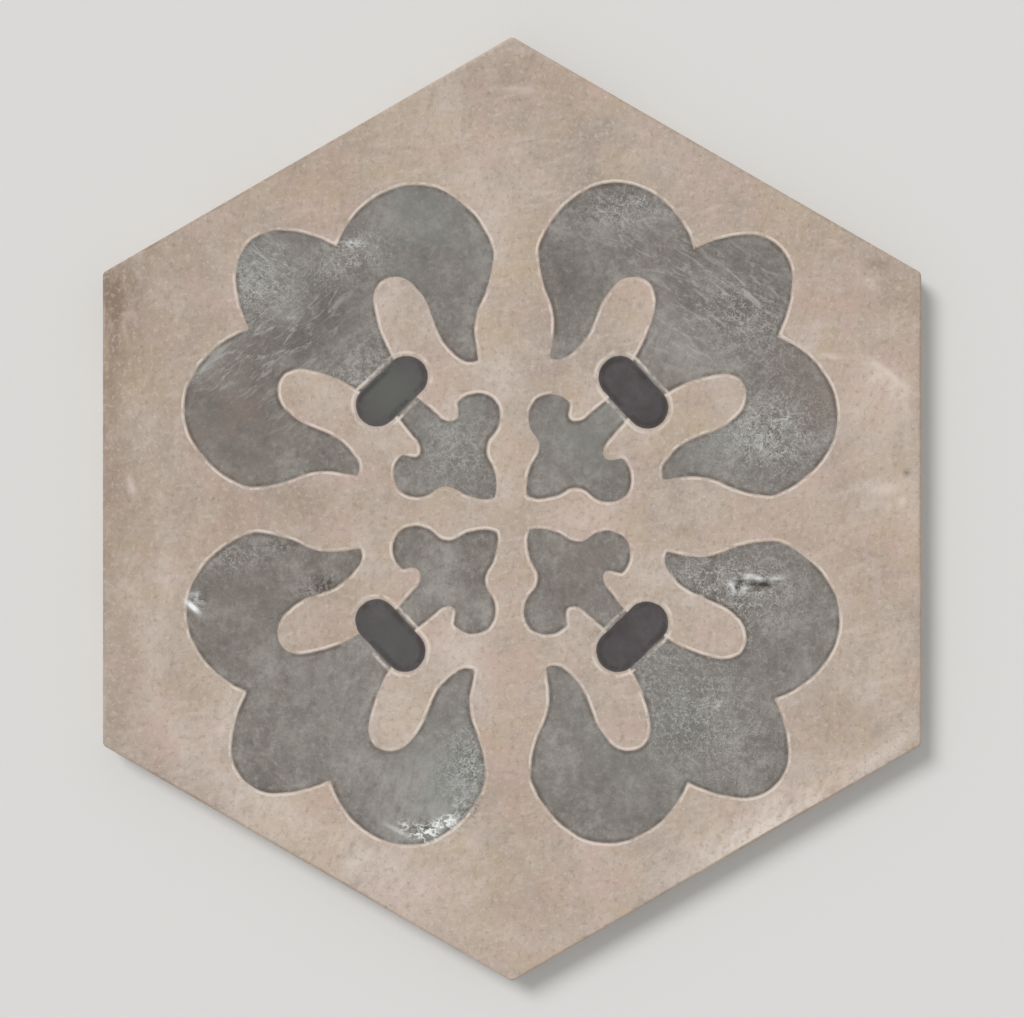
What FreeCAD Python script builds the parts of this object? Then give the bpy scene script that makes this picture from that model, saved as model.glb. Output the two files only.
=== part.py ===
"""Hexagon floor tile: one pressed and fired porcelain piece, in millimetres.

The tile lies face up with +Z up. Two of its corners are on the Y axis, and two of its
six flat sides face +X and -X. The origin is at the centre of the back.

Its face is flat, with an eased edge. Below an upright band, where two tiles come closest,
the sides lean in to the back, so that the pressed piece leaves its mould. The back is
keyed for the adhesive with a honeycomb of shallow cells, which stops at a plain border.
"""
import FreeCAD
import Part
import Sketcher
import math
import os
from enum import IntEnum, auto

# Driving dimensions: name, value and what it measures
SIZES = (
    ("across_flats", 216.0, "one flat side to the opposite one, at the face"),
    ("thickness", 9.0, "back to face"),
    ("corner_radius", 1.6, "the six upright corners, seen from above"),
    ("face_arris", 0.8, "eased edge round the face"),
    ("back_arris", 0.3, "eased edge round the back"),
    ("drafted_height", 4.5, "back to the start of the upright band"),
    ("side_draft", 7.5, "lean of the lower side, in degrees"),
    ("cell_width", 18.0, "keying cell, flat to flat, at the back"),
    ("cell_depth", 0.8, "keying cell, back to floor"),
    ("cell_draft", 35.0, "lean of a cell's walls, in degrees"),
    ("rib_width", 2.2, "rib left between two cells"),
    ("border_width", 7.0, "plain border round the cells, from the upright band inwards"),
)

# From the middle of one cell to the middle of the next
PITCH = "(sizes.cell_width + sizes.rib_width)"
# The field of cells inside the plain border, flat to flat
FIELD_WIDTH = "(sizes.across_flats - 2 * sizes.border_width)"
# Rings of cells round the centre cell that reach into the field
RINGS = f"floor(({FIELD_WIDTH} / 2 + sizes.cell_width / sqrt(3)) / ({PITCH} * sqrt(3) / 2))"

SIDES = 6
SIDE_STEP = 360 / SIDES
# The rings of cells are three equal rhombs of cells, each a third of a turn on
RHOMBS = 3
# A rhomb's cells follow the Y axis and a line a third of a turn from it, in degrees from +X
RHOMB_SLANT = 90 + 360 / RHOMBS
# A regular hexagon's apothem is this share of its corner radius
APOTHEM_SHARE = math.sqrt(3) / 2
TOLERANCE = 1e-6

ORIGIN = FreeCAD.Vector(0, 0, 0)
UPWARDS = FreeCAD.Vector(0, 0, 1)


class Spot(IntEnum):
    """How a sketch constraint numbers the points of a line or an arc."""

    START = auto()
    END = auto()
    CENTRE = auto()


# How a sketch constraint names the sketch's own origin
ORIGIN_POINT = (-1, Spot.START)


def make_sheet(doc):
    """Put the driving dimensions in a spreadsheet, one aliased cell each."""
    sheet = doc.addObject("Spreadsheet::Sheet", "sizes")
    for row, (name, value, meaning) in enumerate(SIZES, 1):
        sheet.set(f"A{row}", name)
        sheet.set(f"B{row}", str(value))
        sheet.setAlias(f"B{row}", name)
        sheet.set(f"C{row}", meaning)
    doc.recompute()
    return sheet


def back_plane(body):
    """Give the body's own XY plane, on which the back lies."""
    planes = body.Origin.OriginFeatures
    return next(plane for plane in planes if plane.Role == "XY_Plane")


def sketch_on_back(body, name):
    """Start a sketch on the plane of the back."""
    sketch = body.newObject("Sketcher::SketchObject", name)
    sketch.AttachmentSupport = (back_plane(body), [""])
    sketch.MapMode = "FlatFace"
    return sketch


def tie(sketch, *terms):
    """Add one geometric constraint to a sketch."""
    sketch.addConstraint(Sketcher.Constraint(*terms))


def tie_to_size(sketch, name, expression, *terms):
    """Add one dimension to a sketch, and bind it to the spreadsheet."""
    index = sketch.addConstraint(Sketcher.Constraint(*terms))
    sketch.renameConstraint(index, name)
    sketch.setExpression(f"Constraints.{name}", expression)


def point_at(centre, radius, degrees):
    """Give the point at a distance and a direction from a centre, in the XY plane."""
    turn = math.radians(degrees)
    return centre + FreeCAD.Vector(radius * math.cos(turn), radius * math.sin(turn), 0)


def draw_hexagon(sketch, centre, width, turn):
    """Draw a hexagon of one width, flat to flat, with its first corner at a turn from +X.

    Returns its sides and the construction circle through its corners.
    """
    reach = width / 2 / APOTHEM_SHARE
    corners = [point_at(centre, reach, turn + SIDE_STEP * number) for number in range(SIDES)]
    sides = []
    for corner, next_corner in zip(corners, corners[1:] + corners[:1]):
        sides.append(sketch.addGeometry(Part.LineSegment(corner, next_corner), False))
    ring = sketch.addGeometry(Part.Circle(centre, UPWARDS, reach), True)
    for side, next_side in zip(sides, sides[1:] + sides[:1]):
        tie(sketch, "Coincident", side, Spot.END, next_side, Spot.START)
        tie(sketch, "PointOnObject", side, Spot.START, ring)
    for side in sides[1:]:
        tie(sketch, "Equal", sides[0], side)
    return sides, ring


def draw_outline(sketch, sheet):
    """Draw the tile's outline: six equal sides joined by six equal tangent corner arcs."""
    radius = sheet.corner_radius
    reach = (sheet.across_flats / 2 - radius) / APOTHEM_SHARE
    sides = []
    corners = []
    for number in range(SIDES):
        facing = SIDE_STEP * number
        before = point_at(ORIGIN, reach, facing - SIDE_STEP / 2)
        after = point_at(ORIGIN, reach, facing + SIDE_STEP / 2)
        side = Part.LineSegment(point_at(before, radius, facing), point_at(after, radius, facing))
        sides.append(sketch.addGeometry(side, False))
        circle = Part.Circle(after, UPWARDS, radius)
        corner = Part.ArcOfCircle(circle, math.radians(facing), math.radians(facing + SIDE_STEP))
        corners.append(sketch.addGeometry(corner, False))
    ring = sketch.addGeometry(Part.Circle(ORIGIN, UPWARDS, reach), True)

    for side, corner, next_side in zip(sides, corners, sides[1:] + sides[:1]):
        tie(sketch, "Tangent", side, Spot.END, corner, Spot.START)
        tie(sketch, "Tangent", corner, Spot.END, next_side, Spot.START)
        tie(sketch, "PointOnObject", corner, Spot.CENTRE, ring)
    for side, corner in zip(sides[1:], corners[1:]):
        tie(sketch, "Equal", sides[0], side)
        tie(sketch, "Equal", corners[0], corner)
    tie(sketch, "Coincident", ring, Spot.CENTRE, *ORIGIN_POINT)
    tie(sketch, "Vertical", sides[0])
    opposite = sides[SIDES // 2]
    tie_to_size(sketch, "corner", "sizes.corner_radius", "Radius", corners[0], radius)
    tie_to_size(sketch, "width", "sizes.across_flats",
                "DistanceX", opposite, Spot.START, sides[0], Spot.START, sheet.across_flats)


def draw_cell(sketch, sheet, centre):
    """Draw one keying cell, with two sides facing +Y and -Y, round a centre.

    Returns its first side and the construction circle through its corners.
    """
    sides, ring = draw_hexagon(sketch, centre, sheet.cell_width, 0)
    top = sides[1]
    bottom = sides[1 + SIDES // 2]
    tie(sketch, "Horizontal", top)
    tie_to_size(sketch, "width", "sizes.cell_width",
                "DistanceY", bottom, Spot.START, top, Spot.START, sheet.cell_width)
    return sides[0], ring


def make_slab(doc, sheet):
    """Press the slab: upright sides above, leaning sides below, and an eased edge at each end."""
    slab = doc.addObject("PartDesign::Body", "hexagon_tile")
    slab.Label = "hexagon_tile"
    outline = sketch_on_back(slab, "outline")
    outline.setExpression("AttachmentOffset.Base.z", "sizes.drafted_height")
    draw_outline(outline, sheet)

    upper = slab.newObject("PartDesign::Pad", "upper_slab")
    upper.Profile = outline
    upper.setExpression("Length", "sizes.thickness - sizes.drafted_height")
    lower = slab.newObject("PartDesign::Pad", "lower_slab")
    lower.Profile = outline
    lower.Reversed = True
    lower.setExpression("Length", "sizes.drafted_height")
    lower.setExpression("TaperAngle", "-sizes.side_draft")
    doc.recompute()

    face_edge = ease_edge(slab, lower, "face_edge", sheet.thickness, "sizes.face_arris")
    ease_edge(slab, face_edge, "back_edge", 0.0, "sizes.back_arris")
    return slab


def ease_edge(body, base, name, height, radius):
    """Round the edges that lie level at one height of the slab."""
    edges = [
        f"Edge{number}"
        for number, edge in enumerate(base.Shape.Edges, 1)
        if all(abs(end.Z - height) < TOLERANCE for end in edge.Vertexes)
    ]
    fillet = body.newObject("PartDesign::Fillet", name)
    fillet.Base = (base, edges)
    fillet.setExpression("Radius", radius)
    body.Tip = fillet
    body.Document.recompute()
    return fillet


def raise_block(body, sketch, name, depth):
    """Raise a block from the plane of the back, with its walls leaning in like a cell's."""
    block = body.newObject("PartDesign::Pad", name)
    block.Profile = sketch
    block.setExpression("Length", depth)
    body.Document.recompute()
    walls = [
        f"Face{number}"
        for number, face in enumerate(block.Shape.Faces, 1)
        if abs(face.normalAt(0, 0).z) < TOLERANCE
    ]
    lean = body.newObject("PartDesign::Draft", f"{name}_walls")
    lean.Base = (block, walls)
    lean.NeutralPlane = (back_plane(body), [""])
    lean.setExpression("Angle", "sizes.cell_draft")
    lean.SupportTransform = True
    body.Tip = lean
    body.Document.recompute()
    return lean


def make_field(doc, sheet):
    """Raise the field inside the plain border, which the cells don't leave."""
    field = doc.addObject("PartDesign::Body", "field")
    width = sheet.across_flats - 2 * sheet.border_width
    sketch = sketch_on_back(field, "field_outline")
    sides, ring = draw_hexagon(sketch, ORIGIN, width, -SIDE_STEP / 2)
    tie(sketch, "Coincident", ring, Spot.CENTRE, *ORIGIN_POINT)
    tie(sketch, "Vertical", sides[0])
    tie_to_size(sketch, "width", FIELD_WIDTH,
                "DistanceX", sides[SIDES // 2], Spot.START, sides[0], Spot.START, width)
    raise_block(field, sketch, "field_block", "sizes.cell_depth")
    return field


def make_centre_cell(doc, sheet):
    """Raise the middle cell."""
    body = doc.addObject("PartDesign::Body", "centre_cell")
    sketch = sketch_on_back(body, "centre_cell_outline")
    ring = draw_cell(sketch, sheet, ORIGIN)[1]
    tie(sketch, "Coincident", ring, Spot.CENTRE, *ORIGIN_POINT)
    raise_block(body, sketch, "centre_cell_block", "sizes.cell_depth")
    return body


def make_ring_cells(doc, sheet):
    """Raise the first cell of a rhomb, fill the rhomb with it, and turn that to three rhombs."""
    body = doc.addObject("PartDesign::Body", "ring_cells")
    pitch = sheet.cell_width + sheet.rib_width
    sketch = sketch_on_back(body, "ring_cell_outline")
    side, ring = draw_cell(sketch, sheet, FreeCAD.Vector(0, pitch, 0))
    tie(sketch, "Vertical", *ORIGIN_POINT, ring, Spot.CENTRE)
    tie_to_size(sketch, "offset", PITCH, "DistanceY", *ORIGIN_POINT, ring, Spot.CENTRE, pitch)
    # The first construction line, which the rhomb's second direction names Axis0
    slant = sketch.addGeometry(Part.LineSegment(ORIGIN, point_at(ORIGIN, pitch, RHOMB_SLANT)), True)
    tie(sketch, "Coincident", slant, Spot.START, *ORIGIN_POINT)
    tie(sketch, "Perpendicular", slant, side)
    tie_to_size(sketch, "slant_pitch", PITCH, "Distance", slant, pitch)
    cell = raise_block(body, sketch, "ring_cell_block", "sizes.cell_depth")

    cells = body.newObject("PartDesign::MultiTransform", "cells")
    cells.Originals = [cell]
    rhomb = body.newObject("PartDesign::LinearPattern", "rhomb_of_cells")
    rhomb.Direction = (sketch, ["V_Axis"])
    rhomb.setExpression("Occurrences", RINGS)
    rhomb.setExpression("Length", f"({RINGS} - 1) * {PITCH}")
    rhomb.Direction2 = (sketch, ["Axis0"])
    rhomb.setExpression("Occurrences2", f"{RINGS} + 1")
    rhomb.setExpression("Length2", f"{RINGS} * {PITCH}")
    turns = body.newObject("PartDesign::PolarPattern", "rhombs")
    turns.Axis = (sketch, ["N_Axis"])
    turns.Angle = 360
    turns.Occurrences = RHOMBS
    cells.Transformations = [rhomb, turns]
    cells.Refine = False
    body.Tip = cells
    doc.recompute()
    return body


def combine(body, kind, name, *others):
    """Join other bodies to a body, cut them from it, or keep only what they share with it."""
    step = body.newObject("PartDesign::Boolean", name)
    step.setObjects(list(others))
    step.Type = kind
    step.Refine = False
    body.Tip = step
    body.Document.recompute()


def check(doc, body):
    """Stop if an object failed, a sketch is loose, or the tile isn't one valid solid."""
    failed = [item.Name for item in doc.Objects if {"Invalid", "Error"} & set(item.State)]
    if failed:
        raise RuntimeError(f"objects failed: {failed}")
    sketches = [item for item in doc.Objects if item.isDerivedFrom("Sketcher::SketchObject")]
    loose = [sketch.Name for sketch in sketches if not sketch.FullyConstrained]
    if loose:
        raise RuntimeError(f"sketches not fully constrained: {loose}")
    shape = body.Shape
    if shape.isNull() or not shape.isValid() or len(shape.Solids) != 1:
        raise RuntimeError("the tile isn't one valid solid")


def main():
    """Build the tile and write it out."""
    doc = FreeCAD.newDocument("hexagon_floor_tile")
    sheet = make_sheet(doc)
    tile = make_slab(doc, sheet)
    cells = make_ring_cells(doc, sheet)
    combine(cells, "Fuse", "all_cells", make_centre_cell(doc, sheet))
    combine(cells, "Common", "cells_in_field", make_field(doc, sheet))
    combine(tile, "Cut", "keyed_back", cells)
    check(doc, tile)

    os.makedirs("parts", exist_ok=True)
    tile.Shape.exportStep(f"parts/{tile.Label}.step")
    box = tile.Shape.optimalBoundingBox(False)
    print(f"{tile.Label}: {box.XLength:.2f} x {box.YLength:.2f} x {box.ZLength:.2f} mm, "
          f"{tile.Shape.Volume / 1000:.2f} cm3, {len(tile.Shape.Faces)} faces")


main()
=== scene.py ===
"""Looks of the hexagon floor tile: one pressed porcelain tile with a printed, matt-glazed face.

The CAD tile is carried over as a merged copy, so that its sides and its keyed back stay as
they are. Its flat face is cut finely enough to carry the print, four flowers on the diagonals,
as distances from their outlines. Lengths of the print are in millimetres, and lengths of the
scene in metres.
"""
import logging
import math
from abc import ABC, abstractmethod
from collections.abc import Sequence
from dataclasses import dataclass, field, fields
from enum import Enum
from typing import ClassVar

import bmesh
import bpy
import numpy as np
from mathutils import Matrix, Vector, noise


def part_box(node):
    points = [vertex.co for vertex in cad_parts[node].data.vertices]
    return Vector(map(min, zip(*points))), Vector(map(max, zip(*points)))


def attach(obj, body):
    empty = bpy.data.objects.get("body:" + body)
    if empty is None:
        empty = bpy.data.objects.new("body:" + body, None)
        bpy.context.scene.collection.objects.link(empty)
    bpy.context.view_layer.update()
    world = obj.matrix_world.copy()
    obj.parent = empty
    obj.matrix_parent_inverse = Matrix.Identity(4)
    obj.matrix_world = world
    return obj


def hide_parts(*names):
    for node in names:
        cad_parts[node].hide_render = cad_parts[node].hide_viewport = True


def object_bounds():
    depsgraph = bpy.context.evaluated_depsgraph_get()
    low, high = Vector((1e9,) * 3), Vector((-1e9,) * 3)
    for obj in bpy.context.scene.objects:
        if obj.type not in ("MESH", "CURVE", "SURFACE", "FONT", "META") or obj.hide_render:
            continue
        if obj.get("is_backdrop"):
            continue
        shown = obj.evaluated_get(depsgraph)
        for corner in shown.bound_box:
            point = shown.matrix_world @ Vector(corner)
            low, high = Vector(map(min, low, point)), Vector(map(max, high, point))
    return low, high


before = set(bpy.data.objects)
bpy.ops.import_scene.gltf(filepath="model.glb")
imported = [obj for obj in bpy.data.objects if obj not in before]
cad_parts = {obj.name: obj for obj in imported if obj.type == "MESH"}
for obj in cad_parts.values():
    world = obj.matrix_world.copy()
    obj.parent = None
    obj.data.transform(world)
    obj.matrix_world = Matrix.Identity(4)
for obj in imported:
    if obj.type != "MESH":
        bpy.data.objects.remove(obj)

log = logging.getLogger("hexagon_tile")

NODE = "hexagon_tile"
MM = 0.001

# Settings that come back: a Mix node that mixes colours, and a range with soft ends.
COLOURS = {"data_type": "RGBA"}
SOFT = {"interpolation_type": "SMOOTHSTEP"}

Point = tuple[float, float]
Colour = tuple[float, float, float, float]
Box = tuple[Vector, Vector]
Node = bpy.types.Node
Rows = np.ndarray


def linear(hex_colour: str) -> Colour:
    """Turn an sRGB hex colour to the linear one that the shaders take.

    Args:
        hex_colour: the colour as "#RRGGBB".

    Returns:
        Red, green, blue and an alpha of 1.
    """
    levels = [int(hex_colour[place:place + 2], 16) / 255 for place in (1, 3, 5)]
    red, green, blue = (
        level / 12.92 if level <= 0.04045 else ((level + 0.055) / 1.055) ** 2.4 for level in levels
    )
    return (red, green, blue, 1.0)


def add_node(
    tree: bpy.types.NodeTree,
    kind: str,
    settings: dict[str, object] | None = None,
    inputs: dict[str | int, object] | None = None,
) -> Node:
    """Add a node with its settings, its values and its links.

    Args:
        tree: the node tree that the node goes in.
        kind: the node's Blender type, without the ShaderNode that it starts with.
        settings: the node's own properties, by name.
        inputs: what goes in each socket in use, by its name or its place among them: a value, an
            output to link, or a node whose first output in use is linked.

    Returns:
        The new node.
    """
    node = tree.nodes.new("ShaderNode" + kind)
    for name, value in (settings or {}).items():
        setattr(node, name, value)
    sockets = [socket for socket in node.inputs if socket.enabled]
    for place, value in (inputs or {}).items():
        socket = sockets[place] if isinstance(place, int) else next(s for s in sockets if s.name == place)
        if isinstance(value, Node):
            value = next(output for output in value.outputs if output.enabled)
        if isinstance(value, bpy.types.NodeSocket):
            tree.links.new(value, socket)
        else:
            socket.default_value = value
    return node


@dataclass(frozen=True)
class Canvas:
    """A material's node tree, with the socket that gives the place on the piece."""

    tree: bpy.types.NodeTree
    place: bpy.types.NodeSocket


class Finish(Enum):
    """The two finishes of the tile, by their place among its materials."""

    PRINTED_FACE = 0
    BARE_BODY = 1


@dataclass(frozen=True)
class Stretch:
    """One stretch of an outline: a straight line, or the arc that passes over one more point."""

    start: Point
    end: Point
    over: Point | None = None

    ARC_STEPS: ClassVar[int] = 10

    def circle(self) -> tuple[Rows, float, float, float]:
        """Find the circle of an arc.

        Returns:
            Its centre, its radius, the angle at the start and the signed sweep, in radians.
        """
        start, over, end = (np.array(point) for point in (self.start, self.over, self.end))
        chords = np.array([over - start, end - start])
        middles = np.array([(over + start) / 2, (end + start) / 2])
        centre = np.linalg.solve(chords, (chords * middles).sum(axis=1))
        angles = [math.atan2(*(point - centre)[::-1]) for point in (start, over, end)]
        to_over = (angles[1] - angles[0]) % math.tau
        to_end = (angles[2] - angles[0]) % math.tau
        sweep = to_end if to_over < to_end else to_end - math.tau
        return centre, float(np.linalg.norm(start - centre)), angles[0], sweep

    def line(self) -> Rows:
        """Give the stretch as points, close enough together to tell inside from outside.

        Returns:
            One row for each point, with both ends.
        """
        if self.over is None:
            return np.array([self.start, self.end])
        centre, radius, first, sweep = self.circle()
        angles = first + sweep * np.linspace(0, 1, self.ARC_STEPS + 1)
        return centre + radius * np.column_stack([np.cos(angles), np.sin(angles)])

    def distance(self, places: Rows) -> Rows:
        """Measure from places to the stretch.

        Args:
            places: one row of two coordinates for each place.

        Returns:
            The distance of each place.
        """
        start, end = np.array(self.start), np.array(self.end)
        to_ends = np.minimum(
            np.linalg.norm(places - start, axis=1), np.linalg.norm(places - end, axis=1)
        )
        if self.over is None:
            run = end - start
            share = (places - start) @ run / (run @ run)
            across = np.abs((places - start) @ np.array([-run[1], run[0]])) / np.linalg.norm(run)
            return np.where((share > 0) & (share < 1), across, to_ends)
        centre, radius, first, sweep = self.circle()
        spoke = places - centre
        turned = (np.arctan2(spoke[:, 1], spoke[:, 0]) - first) * np.sign(sweep) % math.tau
        along = np.abs(np.linalg.norm(spoke, axis=1) - radius)
        return np.where(turned < abs(sweep), along, to_ends)


@dataclass(frozen=True)
class HalfShape:
    """Half of a shape, which serves for both sides of the flower's axis.

    Its outline starts and ends on the axis. Each later entry is the next joint, with the point
    that an arc passes over on its way there, or None for a straight line.
    """

    first: Point
    joints: Sequence[tuple[Point | None, Point]]

    def stretches(self) -> list[Stretch]:
        """Give the outline's lines and arcs.

        Returns:
            The stretches, in order.
        """
        made = []
        start = self.first
        for over, end in self.joints:
            made.append(Stretch(start, end, over))
            start = end
        return made

    def depth(self, places: Rows) -> Rows:
        """Measure how deep places lie in the shape.

        Args:
            places: one row for each place, with its distance along the axis and off it.

        Returns:
            The distance to the outline, above zero inside the shape and below zero outside.
        """
        stretches = self.stretches()
        nearest = np.min([stretch.distance(places) for stretch in stretches], axis=0)
        corners = np.concatenate([stretch.line()[:-1] for stretch in stretches] + [[self.joints[-1][1]]])
        inside = np.zeros(len(places), bool)
        along, off = places[:, 0], places[:, 1]
        for (along_a, off_a), (along_b, off_b) in zip(corners, np.roll(corners, -1, axis=0)):
            if off_a != off_b:
                reach = along_a + (off - off_a) * (along_b - along_a) / (off_b - off_a)
                inside ^= ((off_a > off) != (off_b > off)) & (along < reach)
        return np.where(inside, nearest, -nearest)


@dataclass(frozen=True)
class Flower:
    """The flower that the print repeats: three lobes, a dark band and a small foot.

    Points and the band's sizes are in millimetres, along the flower's axis outwards from the
    tile's centre, and off the axis. The foot is narrower on the side above zero and wider on the
    other, by the share that its skew gives.
    """

    head: HalfShape = HalfShape(
        (99.6, 0.0),
        (
            ((98.7, 4.35), (96.3, 8.1)),
            ((90.0, 12.75), (82.85, 15.85)),
            ((85.65, 26.9), (83.65, 37.1)),
            ((80.1, 42.25), (73.8, 46.45)),
            ((64.9, 47.75), (54.7, 45.6)),
            ((53.4, 44.85), (52.3, 43.8)),
            ((48.45, 38.6), (46.1, 33.6)),
            ((43.2, 28.35), (38.9, 24.5)),
            (None, (35.4, 22.1)),
            ((36.8, 19.95), (39.7, 18.9)),
            ((44.3, 18.75), (48.8, 19.85)),
            (None, (54.2, 22.25)),
            ((57.1, 23.15), (60.2, 23.5)),
            ((65.8, 22.05), (68.25, 17.4)),
            ((67.2, 14.6), (65.2, 12.4)),
            ((58.4, 8.5), (51.1, 6.1)),
            (None, (48.0, 5.3)),
            (None, (48.0, 0.0)),
        ),
    )
    foot: HalfShape = HalfShape(
        (42.0, 0.0),
        (
            (None, (42.0, 3.3)),
            (None, (32.6, 4.2)),
            ((30.1, 4.55), (28.4, 5.9)),
            ((28.15, 7.1), (28.9, 8.3)),
            (None, (31.2, 10.0)),
            ((30.1, 14.25), (25.3, 17.3)),
            ((20.5, 15.15), (18.5, 10.35)),
            ((17.5, 7.6), (15.2, 5.95)),
            (None, (12.3, 5.2)),
            ((9.6, 3.65), (7.4, 1.85)),
            (None, (6.2, 0.0)),
        ),
    )
    band_middle: float = 45.3
    band_half_run: float = 5.4
    band_radius: float = 5.6
    foot_skew: float = 0.04

    def leaf_depth(self, places: Rows) -> Rows:
        """Measure how deep places lie in the grey head or foot.

        Args:
            places: one row for each place, with its distance along the axis and off it.

        Returns:
            The distance to the outline, above zero inside and below zero outside.
        """
        along, off = places[:, 0], places[:, 1]
        on_head = np.column_stack([along, np.abs(off)])
        on_foot = np.column_stack([along, np.abs(off) + self.foot_skew * off])
        return np.maximum(self.head.depth(on_head), self.foot.depth(on_foot))

    def band_depth(self, places: Rows) -> Rows:
        """Measure how deep places lie in the dark band, a straight bar with round ends."""
        past_run = np.maximum(np.abs(places[:, 1]) - self.band_half_run, 0)
        return self.band_radius - np.hypot(places[:, 0] - self.band_middle, past_run)


@dataclass(frozen=True)
class Ornament:
    """The print's four flowers, one on each diagonal, a little turned and off the middle.

    Each flower is the next one turned by a quarter, and all are skewed alike. A point moves out
    by the lean times its distance off the axis, and off the axis by the twist times its distance
    past the flower's middle.
    """

    flower: Flower = Flower()
    turn_deg: float = -0.4
    middle_up_mm: float = -1.3
    across_scale: float = 0.995
    up_scale: float = 1.006
    flower_middle_mm: float = 56.0
    lean: float = 0.021
    twist: float = -0.009

    def flower_places(self, face_mm: Rows) -> Rows:
        """Bring places on the face on to one flower.

        Args:
            face_mm: one row of X and Y for each place.

        Returns:
            One row for each place, with its distance along the flower's axis and off it.
        """
        turn = -math.radians(self.turn_deg)
        right = face_mm[:, 0] / self.across_scale
        above = (face_mm[:, 1] - self.middle_up_mm) / self.up_scale
        across = right * math.cos(turn) - above * math.sin(turn)
        up = right * math.sin(turn) + above * math.cos(turn)
        side = np.where(across * up < 0, -1.0, 1.0)
        along = (np.abs(across) + np.abs(up)) / math.sqrt(2)
        off = side * (np.abs(up) - np.abs(across)) / math.sqrt(2)
        untwisted = off - self.twist * (along - self.flower_middle_mm)
        return np.column_stack([along - self.lean * off, untwisted])

    def depths(self, face_mm: Rows) -> dict[str, Rows]:
        """Give the print's own attributes: the depth in the leaves and in the bands."""
        places = self.flower_places(face_mm)
        return {
            "leaf_depth": self.flower.leaf_depth(places),
            "band_depth": self.flower.band_depth(places),
        }


@dataclass(frozen=True)
class Patch:
    """A soft oval patch on the face, in millimetres from its centre."""

    across: float
    up: float
    long: float
    wide: float
    strength: float
    turn_deg: float = 0.0

    def cover(self, face_mm: Rows) -> Rows:
        """Give how strongly the patch covers places, falling off softly from its middle.

        Args:
            face_mm: one row of X and Y for each place.

        Returns:
            The cover of each place.
        """
        turn = math.radians(self.turn_deg)
        away = face_mm - np.array([self.across, self.up])
        along = away @ np.array([math.cos(turn), math.sin(turn)]) / self.long
        aside = away @ np.array([-math.sin(turn), math.cos(turn)]) / self.wide
        return self.strength * np.exp(-(along**2) - aside**2)


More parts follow.
